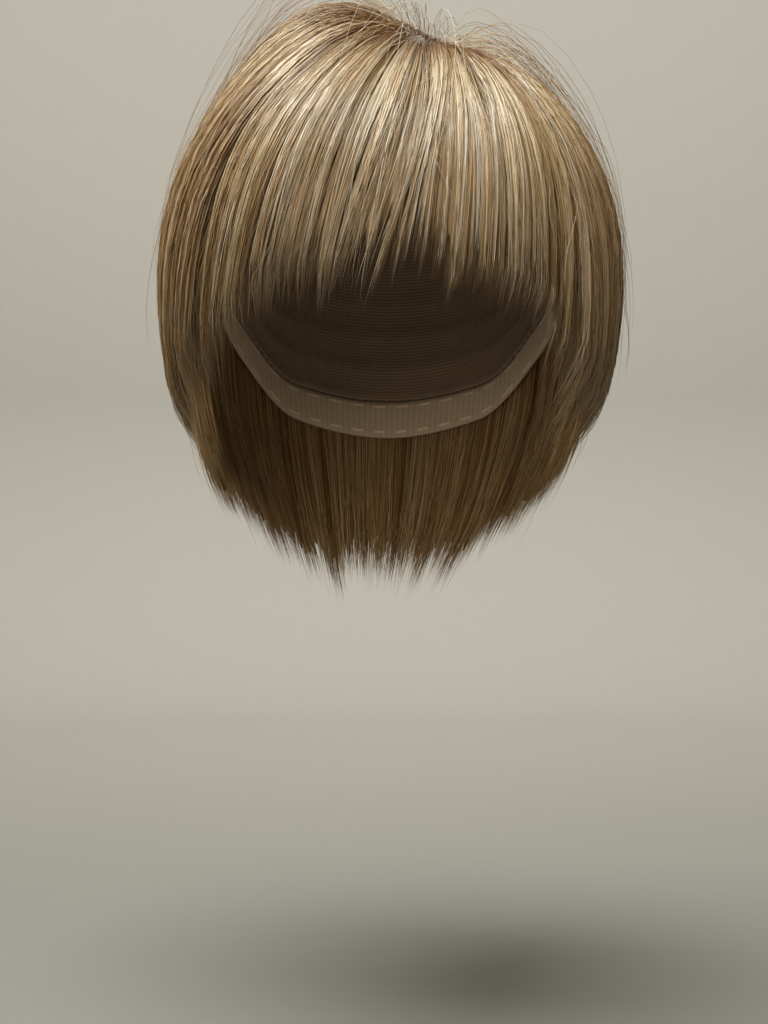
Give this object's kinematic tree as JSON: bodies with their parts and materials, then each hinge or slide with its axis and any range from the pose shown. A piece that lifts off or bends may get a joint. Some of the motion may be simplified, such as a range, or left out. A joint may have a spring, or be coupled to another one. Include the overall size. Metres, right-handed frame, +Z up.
{
  "type": "monofilament top wig",
  "caption": "Short layered wig with a fringe: blond hair in locks on a soft cap with a sheer monofilament top, open below for the head.",
  "frame": {"origin": "inside the top of the cap, at the point that sits on the crown of the head", "axes": "+Z up, -Y towards the face side, +X towards the wearer's left"},
  "size_m": [0.1882, 0.2212, 0.2418],
  "materials": {
    "mono_top": "sheer beige mesh",
    "weft_cap": "matt knitted weft rows",
    "edge_band": "soft matt stretch band",
    "fringe_hair": "glossy blond fibre",
    "upper_hair": "glossy blond fibre",
    "under_hair": "dark blond fibre"
  },
  "bodies": {
    "root": {"mono_top": "mono_top", "weft_cap": "weft_cap", "edge_band": "edge_band", "fringe": "fringe_hair", "side_hair_left": "upper_hair", "side_hair_right": "upper_hair", "back_hair": "upper_hair", "nape_hair": "under_hair"}
  },
  "joints": []
}
